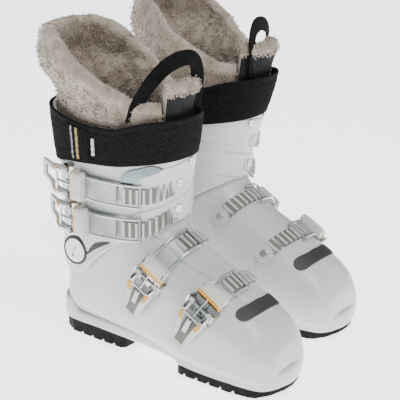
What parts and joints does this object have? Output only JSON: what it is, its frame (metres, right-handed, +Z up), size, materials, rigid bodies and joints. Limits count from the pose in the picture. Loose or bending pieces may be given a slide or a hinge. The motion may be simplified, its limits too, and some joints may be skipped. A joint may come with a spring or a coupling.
{
  "type": "alpine ski boots",
  "caption": "Pair of white four-buckle alpine ski boots with hinged cuffs, wire-bail levers, wide straps and plush-lined collars.",
  "frame": {"origin": "on the floor, at the middle of the pair's bounding box", "axes": "+Z up, toes towards -Y, the wearer's right boot on -X and the left boot on +X, set back 29 mm"},
  "size_m": [0.2934, 0.321, 0.3341],
  "materials": {
    "shell_plastic": "satin off-white injection-moulded plastic",
    "buckle_plastic": "satin warm white moulded plastic",
    "sole_rubber": "matt black moulded rubber",
    "screw_steel": "zinc-plated steel",
    "board_plastic": "dark moulded board",
    "liner_fabric": "charcoal laminated fabric over foam",
    "footbed_fabric": "felt-topped foot bed",
    "plush_lining": "short taupe plush pile",
    "strap_webbing": "embossed charcoal webbing",
    "loop_webbing": "black woven webbing",
    "bright_metal": "polished plated metal",
    "dark_insert": "dark grey rubbery insert"
  },
  "bodies": {
    "right_boot": {"right_lower_shell": "shell_plastic", "right_toe_sole": "sole_rubber", "right_heel_sole": "sole_rubber", "right_sole_screws": "screw_steel", "right_boot_board": "board_plastic", "right_toe_insert": "dark_insert", "right_liner_foot": "liner_fabric", "right_footbed": "footbed_fabric", "right_shell_rivets": "bright_metal", "right_shell_ladders": "buckle_plastic", "right_shell_buckle_bases": "bright_metal"},
    "right_upper": {"right_cuff": "shell_plastic", "right_cuff_insert": "dark_insert", "right_power_strap": "strap_webbing", "right_liner_collar": "plush_lining", "right_liner_tongue": "plush_lining", "right_pull_loop": "loop_webbing", "right_cuff_rivets": "bright_metal", "right_cuff_ladders": "buckle_plastic", "right_cuff_buckle_bases": "bright_metal", "right_cuff_pivots": "bright_metal", "right_ladder_plate": "bright_metal"},
    "left_boot": {"left_lower_shell": "shell_plastic", "left_toe_sole": "sole_rubber", "left_heel_sole": "sole_rubber", "left_sole_screws": "screw_steel", "left_boot_board": "board_plastic", "left_toe_insert": "dark_insert", "left_liner_foot": "liner_fabric", "left_footbed": "footbed_fabric", "left_shell_rivets": "bright_metal", "left_shell_ladders": "buckle_plastic", "left_shell_buckle_bases": "bright_metal"},
    "left_upper": {"left_cuff": "shell_plastic", "left_cuff_insert": "dark_insert", "left_power_strap": "strap_webbing", "left_liner_collar": "plush_lining", "left_liner_tongue": "plush_lining", "left_pull_loop": "loop_webbing", "left_cuff_rivets": "bright_metal", "left_cuff_ladders": "buckle_plastic", "left_cuff_buckle_bases": "bright_metal", "left_cuff_pivots": "bright_metal", "left_ladder_plate": "bright_metal"},
    "right_lever_1": {"right_lever_1": "buckle_plastic"},
    "right_bail_1": {"right_bail_1": "bright_metal"},
    "right_lever_2": {"right_lever_2": "buckle_plastic"},
    "right_bail_2": {"right_bail_2": "bright_metal"},
    "right_lever_3": {"right_lever_3": "buckle_plastic"},
    "right_bail_3": {"right_bail_3": "bright_metal"},
    "right_lever_4": {"right_lever_4": "buckle_plastic"},
    "right_bail_4": {"right_bail_4": "bright_metal"},
    "left_lever_1": {"left_lever_1": "buckle_plastic"},
    "left_bail_1": {"left_bail_1": "bright_metal"},
    "left_lever_2": {"left_lever_2": "buckle_plastic"},
    "left_bail_2": {"left_bail_2": "bright_metal"},
    "left_lever_3": {"left_lever_3": "buckle_plastic"},
    "left_bail_3": {"left_bail_3": "bright_metal"},
    "left_lever_4": {"left_lever_4": "buckle_plastic"},
    "left_bail_4": {"left_bail_4": "bright_metal"}
  },
  "joints": [
    {"name": "left_boot_lift", "type": "slide", "parent": "right_boot", "child": "left_boot", "axis": [0, 0, 1], "range_m": [0, 0.3]},
    {"name": "right_cuff_flex", "type": "hinge", "parent": "right_boot", "child": "right_upper", "pos_m": [-0.0705, 0.0737, 0.1055], "axis": [1, 0, 0], "range_deg": [0, 3.5]},
    {"name": "right_lever_1_turn", "type": "hinge", "parent": "right_boot", "child": "right_lever_1", "pos_m": [-0.1176, -0.08514, 0.08326], "axis": [0.0276, 0.8755, 0.4824], "range_deg": [0, 125]},
    {"name": "right_bail_1_swing", "type": "hinge", "parent": "right_lever_1", "child": "right_bail_1", "pos_m": [-0.12618, -0.08113, 0.07647], "axis": [0.0276, 0.8755, 0.4824], "range_deg": [-137.5, 0]},
    {"name": "right_lever_2_turn", "type": "hinge", "parent": "right_boot", "child": "right_lever_2", "pos_m": [-0.11804, -0.01973, 0.09625], "axis": [0.0116, 0.8758, 0.4826], "range_deg": [0, 125]},
    {"name": "right_bail_2_swing", "type": "hinge", "parent": "right_lever_2", "child": "right_bail_2", "pos_m": [-0.12541, -0.0153, 0.08839], "axis": [0.0116, 0.8758, 0.4826], "range_deg": [-137.5, 0]},
    {"name": "right_lever_3_turn", "type": "hinge", "parent": "right_upper", "child": "right_lever_3", "pos_m": [-0.12614, 0.07347, 0.143], "axis": [0, 0, 1], "range_deg": [0, 125]},
    {"name": "right_bail_3_swing", "type": "hinge", "parent": "right_lever_3", "child": "right_bail_3", "pos_m": [-0.12821, 0.08494, 0.143], "axis": [0, 0, 1], "range_deg": [-137.5, 0]},
    {"name": "right_lever_4_turn", "type": "hinge", "parent": "right_upper", "child": "right_lever_4", "pos_m": [-0.12822, 0.07411, 0.18161], "axis": [-0.0109, -0.0365, 0.9993], "range_deg": [0, 125]},
    {"name": "right_bail_4_swing", "type": "hinge", "parent": "right_lever_4", "child": "right_bail_4", "pos_m": [-0.13134, 0.08532, 0.18199], "axis": [-0.0109, -0.0365, 0.9993], "range_deg": [-137.5, 0]},
    {"name": "left_cuff_flex", "type": "hinge", "parent": "left_boot", "child": "left_upper", "pos_m": [0.0705, 0.1027, 0.1055], "axis": [1, 0, 0], "range_deg": [0, 3.5]},
    {"name": "left_lever_1_turn", "type": "hinge", "parent": "left_boot", "child": "left_lever_1", "pos_m": [0.1176, -0.05614, 0.08326], "axis": [0.0276, -0.8755, -0.4824], "range_deg": [0, 125]},
    {"name": "left_bail_1_swing", "type": "hinge", "parent": "left_lever_1", "child": "left_bail_1", "pos_m": [0.12618, -0.05213, 0.07647], "axis": [0.0276, -0.8755, -0.4824], "range_deg": [-137.5, 0]},
    {"name": "left_lever_2_turn", "type": "hinge", "parent": "left_boot", "child": "left_lever_2", "pos_m": [0.11804, 0.00927, 0.09625], "axis": [0.0116, -0.8758, -0.4826], "range_deg": [0, 125]},
    {"name": "left_bail_2_swing", "type": "hinge", "parent": "left_lever_2", "child": "left_bail_2", "pos_m": [0.12541, 0.0137, 0.08839], "axis": [0.0116, -0.8758, -0.4826], "range_deg": [-137.5, 0]},
    {"name": "left_lever_3_turn", "type": "hinge", "parent": "left_upper", "child": "left_lever_3", "pos_m": [0.12614, 0.10247, 0.143], "axis": [0, 0, -1], "range_deg": [0, 125]},
    {"name": "left_bail_3_swing", "type": "hinge", "parent": "left_lever_3", "child": "left_bail_3", "pos_m": [0.12821, 0.11394, 0.143], "axis": [0, 0, -1], "range_deg": [-137.5, 0]},
    {"name": "left_lever_4_turn", "type": "hinge", "parent": "left_upper", "child": "left_lever_4", "pos_m": [0.12822, 0.10311, 0.18161], "axis": [-0.0109, 0.0365, -0.9993], "range_deg": [0, 125]},
    {"name": "left_bail_4_swing", "type": "hinge", "parent": "left_lever_4", "child": "left_bail_4", "pos_m": [0.13134, 0.11432, 0.18199], "axis": [-0.0109, 0.0365, -0.9993], "range_deg": [-137.5, 0]}
  ],
  "couplings": [
    {"joint": "right_bail_1_swing", "follows": "right_lever_1_turn", "ratio": -1.1},
    {"joint": "right_bail_2_swing", "follows": "right_lever_2_turn", "ratio": -1.1},
    {"joint": "right_bail_3_swing", "follows": "right_lever_3_turn", "ratio": -1.1},
    {"joint": "right_bail_4_swing", "follows": "right_lever_4_turn", "ratio": -1.1},
    {"joint": "left_bail_1_swing", "follows": "left_lever_1_turn", "ratio": -1.1},
    {"joint": "left_bail_2_swing", "follows": "left_lever_2_turn", "ratio": -1.1},
    {"joint": "left_bail_3_swing", "follows": "left_lever_3_turn", "ratio": -1.1},
    {"joint": "left_bail_4_swing", "follows": "left_lever_4_turn", "ratio": -1.1}
  ]
}
